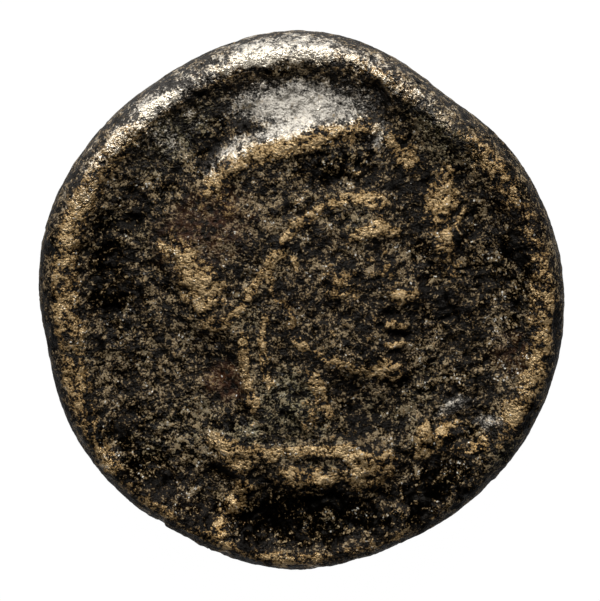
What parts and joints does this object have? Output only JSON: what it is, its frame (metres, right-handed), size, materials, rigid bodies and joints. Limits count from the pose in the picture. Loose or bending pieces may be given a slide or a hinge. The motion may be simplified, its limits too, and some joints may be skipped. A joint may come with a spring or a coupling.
{
  "type": "ancient coin",
  "caption": "Thick, worn coin of struck bronze with a raised rim, a helmeted head on the upper face and a rayed star on the lower face.",
  "frame": {"origin": "centre of the bounding box at its base, on the surface that the coin lies on", "axes": "+Z through the coin's thickness, out of the head side; +Y up for the head; +X the way that the head looks"},
  "size_m": [0.02, 0.0206, 0.0043],
  "materials": {
    "bronze": "old bronze under a dark brown to black patina, bare and satin where the rim and the high relief are worn"
  },
  "bodies": {
    "root": {"coin": "bronze"}
  },
  "joints": []
}
